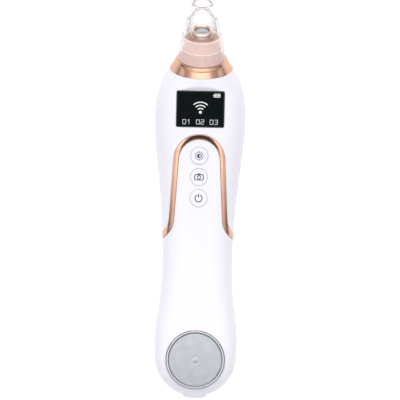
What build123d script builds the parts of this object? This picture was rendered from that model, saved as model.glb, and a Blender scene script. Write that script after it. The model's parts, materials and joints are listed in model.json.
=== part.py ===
from build123d import *
from math import cos, dist, radians, sin
import os

# A hand-held blackhead vacuum that lies on its back. Millimetres.
# X runs across the body, Y from the hot plate towards the suction tip, and Z out of the
# button face. The origin is on the flat rest face, straight under the centre of the hot plate.

os.makedirs("parts", exist_ok=True)

# ---------------------------------------------------------------- driving dimensions
WALL = 2.0                  # thickness of both housing shells
PARTING_GAP = 0.12          # shadow line between the shells
FIT = 0.05                  # play round a piece that is fixed in its seat

# The housing is a loft of squared ellipses along a spine that leans forward at the head.
# y, z of the section's middle, half width, half depth, lean in degrees, front squareness
STATIONS = (
    (1.9, 12.7, 20.5, 13.5, 0.0, 3.8),
    (2.9, 12.7, 20.5, 13.5, 0.0, 3.8),
    (10.5, 12.7, 20.75, 13.5, 0.0, 3.6),
    (21.5, 12.8, 19.55, 13.3, 0.0, 3.1),
    (33.5, 13.0, 18.15, 13.0, 0.0, 2.8),
    (46.0, 13.3, 17.55, 12.9, 0.0, 2.6),
    (65.5, 13.9, 18.05, 13.4, 0.0, 2.5),
    (82.0, 14.4, 19.25, 14.6, 0.0, 2.6),
    (98.0, 15.0, 21.0, 15.6, 2.0, 2.8),
    (114.0, 16.2, 22.6, 16.8, 4.0, 3.1),
    (123.5, 17.6, 22.8, 17.2, 7.0, 3.1),
    (131.5, 19.4, 22.0, 17.1, 11.0, 2.9),
    (139.5, 22.0, 19.7, 16.5, 18.0, 2.4),
    (146.2, 25.0, 15.85, 15.85, 23.6, 2.0),
)
BACK_SQUARENESS = 2.3
SECTION_STEP = 22.5         # degrees between the points that a section's spline runs through
BACK_SHELL_END = -1.8       # y where the back shell stops and the front shell wraps round

# suction head: a frame on the rim of the collar, whose axis leans 30 degrees forward
HEAD_LEAN = 30.0
RIM_Y, RIM_Z, RIM_R = 149.8, 26.85, 13.0
TIP_FOOT, TIP_RIDGE, TIP_SHOULDER, TIP_END = 1.75, 8.4, 14.7, 32.0
COLLAR_BORE = 9.15
SEAT_R, SEAT_BORE, SEAT_TOP, SEAL_H, SEAL_R = 9.1, 7.4, 13.3, 5.0, 0.85
MOUTH_R, MOUTH_LENGTH = 3.9, 3.0
BARREL_R, BARREL_TOP, BARREL_BORE, BARREL_SPIGOT = 6.05, 17.55, 4.0, 5.2
LENS_FOOT, LED_FOOT, CAMERA_FOOT = 15.5, 12.0, 3.0
FILTER_R, FILTER_BACK = 0.9, 7.15

# rose-gold arch, drawn in plan along its outer edge
ARCH_APEX, ARCH_R, ARCH_WIDTH = 112.6, 12.9, 2.55
ARCH_FLARE, ARCH_LEG, ARCH_BEND, ARCH_BEND_ANGLE, ARCH_TAIL = 3.4, 30.5, 9.0, 52, 14
TRIM_DEPTH, TRIM_PROUD = 0.9, 0.25

# buttons
BUTTON_Y = {"button_power": 80.8, "button_camera": 91.4, "button_brightness": 102.0}
BUTTON_R, BUTTON_HOLE, BUTTON_PROUD = 4.4, 4.6, 0.1
KEYPAD_TOP, KEYPAD_T, SWITCH_T = 26.0, 0.5, 2.0

# screen
SCREEN_Y, SCREEN_Z, SCREEN_LEAN = 125.2, 34.55, 9.8
SCREEN_W, SCREEN_L, SCREEN_CORNER, GLASS = 24.1, 18.4, 1.0, 1.0
RECESS_W, RECESS_NEAR, RECESS_FAR = 25.1, 9.4, 9.3
DISPLAY_T = 2.6

# hot plate
RING_R, RING_BORE, RING_TOP, RING_FOOT = 14.75, 13.2, 26.6, 21.0
PLATE_TOP, PLATE_FOOT, HEATER_FOOT = 26.3, 24.2, 23.4

# charging port
PORT_Z, PORT_W, PORT_H, PORT_R, PORT_END, PORT_DEPTH = 12.7, 11.8, 6.4, 2.6, -19.6, 5.6
SOCKET_W, SOCKET_H, SOCKET_LENGTH, SOCKET_WALL = 9.0, 3.2, 6.0, 0.35

# inside
BOARD_X, BOARD_Y0, BOARD_Y1, BOARD_Z, BOARD_T = 10.0, 66.0, 118.0, 21.6, 1.2
BOARD_SCREWS = ((8.0, 72.0), (8.0, 112.0))
# x, y and the floor of the counterbore of each pair of case screws
CASE_SCREWS = ((12.5, 20.0, 4.6), (14.5, 109.5, 6.2))
CASE_SCREW_R, CASE_SCREW_HEAD, CASE_SCREW_LENGTH = 1.1, 2.4, 15.4
BATTERY_Y, BATTERY_W, BATTERY_L, BATTERY_FOOT, BATTERY_T = 50.0, 20.0, 44.0, 5.6, 8.5
MOTOR_R, MOTOR_Z, MOTOR_Y0, MOTOR_Y1 = 7.6, 11.5, 81.0, 101.0
RIB_T = 1.2
BRACKET_T = 1.0
PUMP_W, PUMP_L, PUMP_H = 18.0, 18.0, 16.0
CRANK_CHAMBER_R, CRANK_CHAMBER_L = 5.2, 8.0
SHAFT_R, ECCENTRIC_R, ECCENTRIC_OFFSET = 1.0, 3.0, 0.8
AIR_X, AIR_BACK = 4.2, 4.2
TUBE_R, TUBE_BORE = 2.0, 1.2


# ---------------------------------------------------------------- shared frames and forms
def section_plane(y, z, lean):
    """The plane of a housing section: local y points out of the front."""
    turn = radians(lean)
    return Plane(origin=(0, y, z), x_dir=(1, 0, 0), z_dir=(0, -cos(turn), -sin(turn)))


def section_points(half_width, half_depth, squareness):
    """Points of the right half of a squared ellipse, from the back to the front."""
    points = [(0, -half_depth)]
    for step in range(-3, 4):
        angle = radians(SECTION_STEP * step)
        power = squareness if step > 0 else min(squareness, BACK_SQUARENESS)
        rise = half_depth * abs(sin(angle)) ** (2 / power)
        points.append((half_width * cos(angle) ** (2 / power), rise if step > 0 else -rise))
    points.append((0, half_depth))
    return points


# The waist's section spaces the knots of every section's spline, so the loft has few patches.
waist_points = section_points(18.0, 13.4, 2.5)
knots = [0.0]
for one, other in zip(waist_points, waist_points[1:]):
    knots.append(knots[-1] + dist(one, other))


def half_section(half_width, half_depth, squareness):
    """Draws the right half of a housing section."""
    points = section_points(half_width, half_depth, squareness)
    add(Edge.make_spline(points, tangents=[(1, 0), (-1, 0)], parameters=knots))


def housing(inset):
    """The whole body as one solid, its skin moved inwards by inset."""
    with BuildPart() as body:
        for y, z, half_width, half_depth, lean, squareness in STATIONS:
            with BuildSketch(section_plane(y, z, lean)):
                with BuildLine():
                    half_section(half_width - inset, half_depth - inset, squareness)
                    mirror(about=Plane.YZ)
                make_face()
        loft()
        y, z, half_width, half_depth, lean, squareness = STATIONS[0]
        with BuildSketch(section_plane(y, z, lean)):
            with BuildLine():
                half_section(half_width - inset, half_depth - inset, squareness)
                Line((0, half_depth - inset), (0, inset - half_depth))
            make_face()
        revolve(axis=Axis((0, y, 0), (0, 0, -1)), revolution_arc=180)
    return body.part


head_turn = radians(HEAD_LEAN)
head_dir = Vector(0, cos(head_turn), sin(head_turn))
head_front = Vector(0, -sin(head_turn), cos(head_turn))
rim = Vector(0, RIM_Y, RIM_Z)
head_axis = Axis(rim, head_dir)
# local x is the radius and local y the height over the collar's rim
head_profile = Plane(origin=rim, x_dir=(1, 0, 0), z_dir=head_front)
# local z is the height over the rim, and local y points out of the front
head_deck = Plane(origin=rim, x_dir=(1, 0, 0), z_dir=head_dir)

screen_turn = radians(SCREEN_LEAN)
screen = Plane(
    origin=(0, SCREEN_Y, SCREEN_Z), x_dir=(1, 0, 0), z_dir=(0, -sin(screen_turn), cos(screen_turn))
)


def turned(*corners):
    """A solid of revolution about the head's axis from (radius, height) corners."""
    with BuildPart() as piece:
        with BuildSketch(head_profile):
            with BuildLine():
                Polyline(*corners, close=True)
            make_face()
        revolve(axis=head_axis)
    return piece.part


def arch_edge(inward):
    """Half of the arch's edge in plan, moved towards the buttons by inward."""
    top = JernArc((0, ARCH_APEX - inward), (1, 0), ARCH_R - inward, ARCH_FLARE - 90)
    leg = PolarLine(top @ 1, ARCH_LEG, direction=top % 1)
    bend = JernArc(leg @ 1, leg % 1, ARCH_BEND + inward, ARCH_BEND_ANGLE)
    return PolarLine(bend @ 1, ARCH_TAIL, direction=bend % 1)


outer = housing(0)
cavity = housing(WALL)

# the space that belongs to the front shell: all in front of the spine, and the bottom end
spine = [(y, z) for y, z, *rest in STATIONS[2:]]
with BuildPart() as front_space:
    with BuildSketch(Plane.YZ):
        with BuildLine():
            split_line = Spline((BACK_SHELL_END, STATIONS[0][1]), *spine, (155.0, 29.2))
            Polyline(split_line @ 1, (170, 70), (-40, 70), (-40, -10), (BACK_SHELL_END, -10),
                     split_line @ 0)
        make_face()
    extrude(amount=40, both=True)

with BuildPart() as below_rest:
    with BuildSketch(Plane.XY):
        Rectangle(100, 400)
    extrude(amount=-20)

with BuildPart() as arch_band:
    with BuildSketch(Plane.XY):
        with BuildLine():
            outside = arch_edge(0)
            inside = arch_edge(ARCH_WIDTH)
            Line(outside @ 1, inside @ 1)
            mirror(about=Plane.YZ)
        make_face()
    extrude(amount=50)
    add(front_space.part, mode=Mode.INTERSECT)

# ---------------------------------------------------------------- housing
with BuildPart() as trim_channel:
    add(arch_band.part)
    add(housing(TRIM_DEPTH), mode=Mode.SUBTRACT)

with BuildPart() as body_and_port:
    add(outer)
    with BuildSketch(Plane.XZ.offset(-PORT_END)):
        with Locations((0, PORT_Z)):
            RectangleRounded(PORT_W, PORT_H, PORT_R)
    extrude(amount=-PORT_DEPTH)
    fillet(edges().filter_by(Plane.XZ).group_by(Axis.Y)[0], 0.5)

with BuildPart() as front_shell:
    add(outer)
    add(cavity, mode=Mode.SUBTRACT)
    # frame that carries the screen, posts for the board and posts for the case screws
    with BuildSketch(screen.offset(-4.2)):
        RectangleRounded(SCREEN_W + 4.6, SCREEN_L + 4.6, 2)
    extrude(amount=6)
    for x, y in BOARD_SCREWS:
        with BuildSketch(Plane.XY.offset(BOARD_Z + BOARD_T)):
            with Locations((x, y), (-x, y)):
                Circle(2.3)
        extrude(amount=12)
    for x, y, floor in CASE_SCREWS:
        with BuildSketch(Plane.XY.offset(10)):
            with Locations((x, y), (-x, y)):
                Circle(3.0)
        extrude(amount=25)
    with BuildSketch(Plane.XZ.offset(-PORT_END)):
        with Locations((0, PORT_Z)):
            RectangleRounded(PORT_W, PORT_H, PORT_R)
    extrude(amount=-PORT_DEPTH)
    add(body_and_port.part, mode=Mode.INTERSECT)
    add(front_space.part, mode=Mode.INTERSECT)
    add(below_rest.part, mode=Mode.SUBTRACT)
    # screen: a sunken recess whose far wall slopes, a seat for the glass and an opening
    with BuildSketch(Plane.YZ):
        with BuildLine():
            near = (SCREEN_Y - RECESS_NEAR * cos(screen_turn), SCREEN_Z - RECESS_NEAR * sin(screen_turn))
            far = (SCREEN_Y + RECESS_FAR * cos(screen_turn), SCREEN_Z + RECESS_FAR * sin(screen_turn))
            Polyline(near, far, (far[0] + 6, far[1] + 6), (near[0], far[1] + 6), close=True)
        make_face()
    extrude(amount=RECESS_W / 2, both=True, mode=Mode.SUBTRACT)
    with BuildSketch(screen.offset(-GLASS)):
        RectangleRounded(SCREEN_W, SCREEN_L, SCREEN_CORNER)
    extrude(amount=2, mode=Mode.SUBTRACT)
    with BuildSketch(screen.offset(-10)):
        RectangleRounded(SCREEN_W - 2, SCREEN_L - 2, SCREEN_CORNER)
    extrude(amount=10, mode=Mode.SUBTRACT)
    # hot plate, buttons, board screws and case screws
    with BuildSketch(Plane.XY.offset(RING_FOOT - 0.5)):
        Circle(RING_R + FIT)
    extrude(amount=10, mode=Mode.SUBTRACT)
    with BuildSketch(Plane.XY.offset(BOARD_Z + BOARD_T)):
        with Locations(*[(0, y) for y in BUTTON_Y.values()]):
            Circle(BUTTON_HOLE)
    extrude(amount=20, mode=Mode.SUBTRACT)
    with BuildSketch(Plane.XY.offset(BOARD_Z)):
        with Locations(*[(side * x, y) for x, y in BOARD_SCREWS for side in (-1, 1)]):
            Circle(0.9)
    extrude(amount=5.0, mode=Mode.SUBTRACT)
    with BuildSketch(Plane.XY):
        with Locations(*[(side * x, y) for x, y, floor in CASE_SCREWS for side in (-1, 1)]):
            Circle(CASE_SCREW_R)
    extrude(amount=22.0, mode=Mode.SUBTRACT)
    # charging port
    with BuildSketch(Plane.XZ.offset(-PORT_END)):
        with Locations((0, PORT_Z)):
            SlotOverall(SOCKET_W, SOCKET_H)
    extrude(amount=-8, mode=Mode.SUBTRACT)
    add(trim_channel.part, mode=Mode.SUBTRACT)

with BuildPart() as arch_trim:
    add(housing(-TRIM_PROUD))
    add(trim_channel.part, mode=Mode.INTERSECT)

with BuildPart() as back_space:
    with BuildSketch(Plane.YZ):
        with BuildLine():
            low_line = Spline(
                (BACK_SHELL_END + PARTING_GAP, STATIONS[0][1] - PARTING_GAP),
                *[(y, z - PARTING_GAP) for y, z in spine],
                (155.0, 29.2 - PARTING_GAP),
            )
            Polyline(low_line @ 1, (170, 0), (BACK_SHELL_END + PARTING_GAP, 0), low_line @ 0)
        make_face()
    extrude(amount=40, both=True)

motor_mid = Plane(origin=(0, MOTOR_Y0, MOTOR_Z), x_dir=(1, 0, 0), z_dir=(0, 1, 0))

with BuildPart() as back_shell:
    add(outer)
    add(cavity, mode=Mode.SUBTRACT)
    for x, y, floor in CASE_SCREWS:
        with BuildSketch(Plane.XY):
            with Locations((x, y), (-x, y)):
                Circle(3.8)
        extrude(amount=25)
    # ribs that the battery lies on, ribs at its ends, and two saddles for the motor
    with BuildSketch(Plane.XY):
        with Locations((0, BATTERY_Y - 12), (0, BATTERY_Y + 12)):
            Rectangle(BATTERY_W - 4, RIB_T)
    extrude(amount=BATTERY_FOOT - FIT)
    with BuildSketch(Plane.XY):
        with GridLocations(0, BATTERY_L + RIB_T + 4 * FIT, 1, 2):
            with Locations((0, BATTERY_Y)):
                Rectangle(BATTERY_W - 4, RIB_T)
    extrude(amount=BATTERY_FOOT + 3)
    for saddle in (3.0, 14.0):
        with BuildSketch(motor_mid.offset(saddle)):
            with Locations((0, MOTOR_Z - MOTOR_R / 2)):
                Rectangle(1.6 * MOTOR_R, MOTOR_R)
            Circle(MOTOR_R + FIT, mode=Mode.SUBTRACT)
        extrude(amount=RIB_T)
    add(outer, mode=Mode.INTERSECT)
    add(back_space.part, mode=Mode.INTERSECT)
    for x, y, floor in CASE_SCREWS:
        with Locations((x, y, floor), (-x, y, floor)):
            CounterBoreHole(1.25, 2.6, 0.01, depth=20)
            Cylinder(2.6, 20, align=(Align.CENTER, Align.CENTER, Align.MAX), mode=Mode.SUBTRACT)

back_shell.part.label = "back_shell"
export_step(back_shell.part, "parts/back_shell.step")
front_shell.part.label = "front_shell"
export_step(front_shell.part, "parts/front_shell.step")
arch_trim.part.label = "arch_trim"
export_step(arch_trim.part, "parts/arch_trim.step")

with BuildPart() as case_screws:
    for x, y, floor in CASE_SCREWS:
        with Locations((x, y, floor), (-x, y, floor)):
            Cylinder(CASE_SCREW_HEAD, 1.4, align=(Align.CENTER, Align.CENTER, Align.MAX))
            Cylinder(CASE_SCREW_R, CASE_SCREW_LENGTH, align=(Align.CENTER, Align.CENTER, Align.MIN))
case_screws.part.label = "case_screws"
export_step(case_screws.part, "parts/case_screws.step")

with BuildPart() as screw_plugs:
    for x, y, floor in CASE_SCREWS:
        with BuildSketch(Plane.XY):
            with Locations((x, y), (-x, y)):
                Circle(2.55)
        extrude(amount=floor - 1.45)
    add(outer, mode=Mode.INTERSECT)
screw_plugs.part.label = "screw_plugs"
export_step(screw_plugs.part, "parts/screw_plugs.step")

# ---------------------------------------------------------------- suction head
with BuildPart() as head_collar:
    # mirror cone between the body's round mouth and the rim
    y, z, half_width, half_depth, lean, squareness = STATIONS[-1]
    seam = Plane(origin=(0, y, z), x_dir=(1, 0, 0), z_dir=(0, cos(radians(lean)), sin(radians(lean))))
    with BuildSketch(seam):
        Circle(half_width)
        Circle(half_width - WALL, mode=Mode.SUBTRACT)
    with BuildSketch(head_deck):
        Circle(RIM_R)
        Circle(RIM_R - WALL, mode=Mode.SUBTRACT)
    loft(ruled=True)
    # shoulder that the suction tip stands on
    with BuildSketch(head_profile):
        with BuildLine():
            Polyline((COLLAR_BORE, 0), (RIM_R, 0), (RIM_R + 0.12, 0.25), (RIM_R - 0.1, 0.5),
                     (RIM_R - 1, TIP_FOOT - 0.15), (COLLAR_BORE, TIP_FOOT - 0.15), close=True)
        make_face()
    revolve(axis=head_axis)
head_collar.part.label = "head_collar"
export_step(head_collar.part, "parts/head_collar.step")

# round seat: a flange under the collar, a groove for the seal and a lid that holds the barrel
seat_lid = SEAT_TOP - 1.5
with BuildPart() as tip_seat:
    with BuildSketch(head_profile):
        with BuildLine():
            Polyline((0, -2), (10.8, -2), (10.8, 0), (SEAT_R, 0), (SEAT_R - 0.1, SEAL_H - SEAL_R - FIT),
                     (8.25, SEAL_H - SEAL_R - FIT), (8.25, SEAL_H + SEAL_R + FIT),
                     (SEAT_R - 0.15, SEAL_H + SEAL_R + FIT), (SEAT_R - 0.4, SEAT_TOP - 0.7),
                     (SEAT_R - 0.9, SEAT_TOP), (BARREL_SPIGOT + FIT, SEAT_TOP),
                     (BARREL_SPIGOT + FIT, seat_lid), (SEAT_BORE, seat_lid), (SEAT_BORE, -0.6),
                     (0, -0.6), close=True)
        make_face()
    revolve(axis=head_axis)
    # air way through the base and the filter hole behind the barrel
    with BuildSketch(head_deck.offset(-3)):
        with Locations((AIR_X, -AIR_BACK)):
            Circle(TUBE_BORE)
    extrude(amount=4, mode=Mode.SUBTRACT)
    with BuildSketch(head_deck.offset(seat_lid - 0.5)):
        with Locations((0, -FILTER_BACK)):
            Circle(FILTER_R)
    extrude(amount=3, mode=Mode.SUBTRACT)
tip_seat.part.label = "tip_seat"
export_step(tip_seat.part, "parts/tip_seat.step")

with BuildPart() as tip_seal:
    with BuildSketch(head_profile):
        with Locations((SEAT_R - 0.02, SEAL_H)):
            RegularPolygon(SEAL_R, 6, rotation=30)
    revolve(axis=head_axis)
tip_seal.part.label = "tip_seal"
export_step(tip_seal.part, "parts/tip_seal.step")

with BuildPart() as filter_sponge:
    with BuildSketch(head_deck.offset(seat_lid)):
        with Locations((0, -FILTER_BACK)):
            Circle(FILTER_R - FIT)
    extrude(amount=SEAT_TOP - seat_lid)
filter_sponge.part.label = "filter_sponge"
export_step(filter_sponge.part, "parts/filter_sponge.step")

with BuildPart() as lens_barrel:
    with BuildSketch(head_profile):
        with BuildLine():
            Polyline((BARREL_BORE, seat_lid), (BARREL_SPIGOT, seat_lid), (BARREL_SPIGOT, SEAT_TOP),
                     (BARREL_R, SEAT_TOP), (BARREL_R, BARREL_TOP), (BARREL_BORE, BARREL_TOP), close=True)
        make_face()
        fillet(vertices().group_by(Axis.Y)[-1].sort_by(Axis.X)[-1], 1.1)
        chamfer(vertices().group_by(Axis.Y)[-1].sort_by(Axis.X)[0], 0.4)
    revolve(axis=head_axis)
lens_barrel.part.label = "lens_barrel"
export_step(lens_barrel.part, "parts/lens_barrel.step")

with BuildPart() as lens_glass:
    with BuildSketch(head_deck.offset(LENS_FOOT)):
        Circle(BARREL_BORE - FIT)
    extrude(amount=0.9)
lens_glass.part.label = "lens_glass"
export_step(lens_glass.part, "parts/lens_glass.step")

with BuildPart() as led_ring:
    with BuildSketch(head_deck.offset(LED_FOOT)):
        Circle(BARREL_BORE - FIT)
        Circle(2.9, mode=Mode.SUBTRACT)
    extrude(amount=0.8)
    with BuildSketch(head_deck.offset(LED_FOOT + 0.8)):
        with PolarLocations(3.42, 6):
            Rectangle(0.9, 0.9)
    extrude(amount=0.5)
led_ring.part.label = "led_ring"
export_step(led_ring.part, "parts/led_ring.step")

with BuildPart() as camera_module:
    # board, sensor housing and lens tube, whose front is hollow
    with BuildSketch(head_deck.offset(CAMERA_FOOT)):
        RectangleRounded(9.6, 9.6, 0.8)
    extrude(amount=0.8)
    with BuildSketch(head_deck.offset(CAMERA_FOOT + 0.8)):
        Rectangle(6.5, 6.5)
    extrude(amount=2.6)
    with BuildSketch(head_deck.offset(CAMERA_FOOT + 3.4)):
        Circle(2.7)
    extrude(amount=LENS_FOOT - CAMERA_FOOT - 3.9)
    with BuildSketch(head_deck.offset(LENS_FOOT - 0.5)):
        Circle(1.2)
    extrude(amount=-0.8, mode=Mode.SUBTRACT)
camera_module.part.label = "camera_module"
export_step(camera_module.part, "parts/camera_module.step")

# Clear tip: a skirt that pushes over the seat, with a ridge round its middle, and a cone with
# a round mouth. Inside, the cone steps in at two thirds of its height.
with BuildPart() as suction_tip:
    with BuildSketch(head_profile):
        with BuildLine():
            Polyline((10.25, TIP_FOOT), (11.3, TIP_FOOT), (11.6, TIP_FOOT + 0.3), (11.15, TIP_RIDGE),
                     (10.9, TIP_RIDGE + 0.3), (10.15, TIP_SHOULDER), (9.5, TIP_SHOULDER + 0.3),
                     (5.3, TIP_END), (MOUTH_R, TIP_END), (MOUTH_R, TIP_END - MOUTH_LENGTH), (6.1, 24.3),
                     (6.3, 23.7), (8.35, TIP_SHOULDER + 0.2), (9.3, 13.5), (9.3, 12.6), close=True)
        make_face()
        fillet(vertices().group_by(Axis.Y)[-1], 0.6)
    revolve(axis=head_axis)
suction_tip.part.label = "suction_tip"
export_step(suction_tip.part, "parts/suction_tip.step")

# ---------------------------------------------------------------- screen
with BuildPart() as display_window:
    with BuildSketch(screen.offset(-GLASS)):
        RectangleRounded(SCREEN_W - 2 * FIT, SCREEN_L - 2 * FIT, SCREEN_CORNER - FIT)
    extrude(amount=GLASS)
    chamfer(edges().filter_by(screen).group_by(Axis(screen.origin, screen.z_dir))[-1], 0.2)
display_window.part.label = "display_window"
export_step(display_window.part, "parts/display_window.step")

with BuildPart() as display_module:
    with BuildSketch(screen.offset(-GLASS - DISPLAY_T)):
        RectangleRounded(SCREEN_W - 2.4, SCREEN_L - 2.4, 0.6)
    extrude(amount=DISPLAY_T)
display_module.part.label = "display_module"
export_step(display_module.part, "parts/display_module.step")

# ---------------------------------------------------------------- buttons and board
cap_skin = housing(-BUTTON_PROUD)
for name, y in BUTTON_Y.items():
    with BuildPart() as button:
        with BuildSketch(Plane.XY.offset(KEYPAD_TOP + 0.6)):
            with Locations((0, y)):
                Circle(BUTTON_R)
        extrude(amount=12)
        add(cap_skin, mode=Mode.INTERSECT)
    button.part.label = name
    export_step(button.part, f"parts/{name}.step")

with BuildPart() as button_membrane:
    with BuildSketch(Plane.XY.offset(KEYPAD_TOP - KEYPAD_T)):
        with Locations((0, BUTTON_Y["button_camera"])):
            RectangleRounded(11, 34, 2)
    extrude(amount=KEYPAD_T)
button_membrane.part.label = "button_membrane"
export_step(button_membrane.part, "parts/button_membrane.step")

board_top = BOARD_Z + BOARD_T
with BuildPart() as tact_switches:
    for y in BUTTON_Y.values():
        with BuildSketch(Plane.XY.offset(board_top)):
            with Locations((0, y)):
                RectangleRounded(6, 6, 0.5)
        extrude(amount=SWITCH_T)
        with BuildSketch(Plane.XY.offset(board_top + SWITCH_T)):
            with Locations((0, y)):
                Circle(1.6)
        extrude(amount=KEYPAD_TOP - KEYPAD_T - board_top - SWITCH_T)
tact_switches.part.label = "tact_switches"
export_step(tact_switches.part, "parts/tact_switches.step")

with BuildPart() as main_board:
    with BuildSketch(Plane.XY.offset(BOARD_Z)):
        with Locations((0, (BOARD_Y0 + BOARD_Y1) / 2)):
            RectangleRounded(2 * BOARD_X, BOARD_Y1 - BOARD_Y0, 1.5)
        with Locations(*[(side * x, y) for x, y in BOARD_SCREWS for side in (-1, 1)]):
            Circle(1.0, mode=Mode.SUBTRACT)
    extrude(amount=BOARD_T)
main_board.part.label = "main_board"
export_step(main_board.part, "parts/main_board.step")

with BuildPart() as board_screws:
    with Locations(*[(side * x, y, BOARD_Z) for x, y in BOARD_SCREWS for side in (-1, 1)]):
        Cylinder(1.7, 1.0, align=(Align.CENTER, Align.CENTER, Align.MAX))
        Cylinder(0.9, 5.0, align=(Align.CENTER, Align.CENTER, Align.MIN))
board_screws.part.label = "board_screws"
export_step(board_screws.part, "parts/board_screws.step")

with BuildPart() as wifi_antenna:
    with BuildSketch(Plane.XY.offset(board_top)):
        with Locations((0, BOARD_Y1 - 3)):
            RectangleRounded(9, 3, 0.4)
    extrude(amount=1.2)
wifi_antenna.part.label = "wifi_antenna"
export_step(wifi_antenna.part, "parts/wifi_antenna.step")

with BuildPart() as battery:
    with BuildSketch(Plane.XY.offset(BATTERY_FOOT)):
        with Locations((0, BATTERY_Y)):
            RectangleRounded(BATTERY_W, BATTERY_L, 2)
    extrude(amount=BATTERY_T)
    chamfer(edges().filter_by(Plane.XY), 1.0)
battery.part.label = "battery"
export_step(battery.part, "parts/battery.step")

# ---------------------------------------------------------------- vacuum pump
motor_length = MOTOR_Y1 - MOTOR_Y0
pump_start = MOTOR_Y1 + BRACKET_T
with BuildPart() as pump_motor:
    with BuildSketch(motor_mid):
        Circle(MOTOR_R)
    extrude(amount=motor_length)
    fillet(edges().group_by(Axis.Y)[0], 1.2)
    with BuildSketch(motor_mid.offset(motor_length)):
        Circle(SHAFT_R + FIT)
    extrude(amount=-motor_length + 2, mode=Mode.SUBTRACT)
pump_motor.part.label = "pump_motor"
export_step(pump_motor.part, "parts/pump_motor.step")

with BuildPart() as pump_bracket:
    with BuildSketch(motor_mid.offset(motor_length)):
        RectangleRounded(19, 16.4, 2)
        Circle(SHAFT_R + 0.4, mode=Mode.SUBTRACT)
    extrude(amount=BRACKET_T)
pump_bracket.part.label = "pump_bracket"
export_step(pump_bracket.part, "parts/pump_bracket.step")

with BuildPart() as pump_head:
    with BuildSketch(motor_mid.offset(motor_length + BRACKET_T)):
        RectangleRounded(PUMP_W, PUMP_H, 3)
    extrude(amount=PUMP_L)
    with BuildSketch(motor_mid.offset(motor_length + BRACKET_T)):
        Circle(CRANK_CHAMBER_R)
    extrude(amount=CRANK_CHAMBER_L, mode=Mode.SUBTRACT)
    with BuildSketch(motor_mid.offset(motor_length + BRACKET_T + CRANK_CHAMBER_L)):
        Circle(SHAFT_R + FIT)
    extrude(amount=5, mode=Mode.SUBTRACT)
    for groove in (3.5, 12.5):
        with BuildSketch(motor_mid.offset(motor_length + BRACKET_T + groove)):
            RectangleRounded(PUMP_W + 2, PUMP_H + 2, 3)
            RectangleRounded(PUMP_W - 0.8, PUMP_H - 0.8, 2.6, mode=Mode.SUBTRACT)
        extrude(amount=0.8, mode=Mode.SUBTRACT)
pump_head.part.label = "pump_head"
export_step(pump_head.part, "parts/pump_head.step")

with BuildPart() as motor_shaft:
    with BuildSketch(motor_mid.offset(4)):
        Circle(SHAFT_R)
    extrude(amount=motor_length + BRACKET_T + CRANK_CHAMBER_L)
    with BuildSketch(motor_mid.offset(motor_length + BRACKET_T + 2)):
        with Locations((0, ECCENTRIC_OFFSET)):
            Circle(ECCENTRIC_R)
    extrude(amount=4)
motor_shaft.part.label = "motor_shaft"
export_step(motor_shaft.part, "parts/motor_shaft.step")

# hose from the pump to the underside of the seat
hose_end = rim + head_dir * -2 - head_front * AIR_BACK + Vector(AIR_X, 0, 0)
hose_bend = hose_end - head_dir * ((hose_end.Z - MOTOR_Z) / sin(head_turn))
hose_start = Vector(AIR_X, pump_start + PUMP_L, MOTOR_Z)
with BuildPart() as air_tube:
    with BuildLine() as route:
        FilletPolyline(hose_start, hose_bend, hose_end, radius=15)
    with BuildSketch(Plane(origin=hose_start, x_dir=(1, 0, 0), z_dir=(0, 1, 0))):
        Circle(TUBE_R)
        Circle(TUBE_BORE, mode=Mode.SUBTRACT)
    sweep(path=route.wires()[0])
air_tube.part.label = "air_tube"
export_step(air_tube.part, "parts/air_tube.step")

# ---------------------------------------------------------------- hot plate and port
with BuildPart() as disc_ring:
    with BuildSketch(Plane.XZ):
        with BuildLine():
            Polyline((RING_BORE, RING_FOOT), (RING_R, RING_FOOT), (RING_R, RING_TOP - 0.5),
                     (RING_R - 0.5, RING_TOP), (RING_R - 0.9, RING_TOP), (RING_BORE, RING_TOP - 0.7),
                     close=True)
        make_face()
    revolve(axis=Axis.Z)
disc_ring.part.label = "disc_ring"
export_step(disc_ring.part, "parts/disc_ring.step")

with BuildPart() as compress_disc:
    with BuildSketch(Plane.XZ):
        with BuildLine():
            nib = (1.7, PLATE_TOP - 0.25)
            ThreePointArc((0, PLATE_TOP), (0.9, PLATE_TOP - 0.07), nib)
            Polyline(nib, (RING_BORE - 0.6, PLATE_TOP - 0.4), (RING_BORE - FIT, PLATE_TOP - 0.5),
                     (RING_BORE - FIT, PLATE_FOOT), (0, PLATE_FOOT), (0, PLATE_TOP))
        make_face()
    revolve(axis=Axis.Z)
compress_disc.part.label = "compress_disc"
export_step(compress_disc.part, "parts/compress_disc.step")

with BuildPart() as heater_pad:
    with BuildSketch(Plane.XY.offset(HEATER_FOOT)):
        Circle(RING_BORE - 0.8)
    extrude(amount=PLATE_FOOT - HEATER_FOOT)
heater_pad.part.label = "heater_pad"
export_step(heater_pad.part, "parts/heater_pad.step")

with BuildPart() as disc_insulator:
    with BuildSketch(Plane.XY.offset(RING_FOOT)):
        Circle(RING_BORE - FIT)
    extrude(amount=HEATER_FOOT - RING_FOOT)
disc_insulator.part.label = "disc_insulator"
export_step(disc_insulator.part, "parts/disc_insulator.step")

with BuildPart() as charging_socket:
    port_face = Plane.XZ.offset(-PORT_END - 0.3)
    with BuildSketch(port_face):
        with Locations((0, PORT_Z)):
            SlotOverall(SOCKET_W - 0.02, SOCKET_H - 0.02)
    extrude(amount=-SOCKET_LENGTH)
    with BuildSketch(port_face):
        with Locations((0, PORT_Z)):
            SlotOverall(SOCKET_W - 2 * SOCKET_WALL, SOCKET_H - 2 * SOCKET_WALL)
    extrude(amount=-SOCKET_LENGTH + 0.8, mode=Mode.SUBTRACT)
    with BuildSketch(port_face.offset(-0.8)):
        with Locations((0, PORT_Z)):
            Rectangle(6.6, 0.7)
    extrude(amount=-SOCKET_LENGTH + 1.4)
charging_socket.part.label = "charging_socket"
export_step(charging_socket.part, "parts/charging_socket.step")
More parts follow.
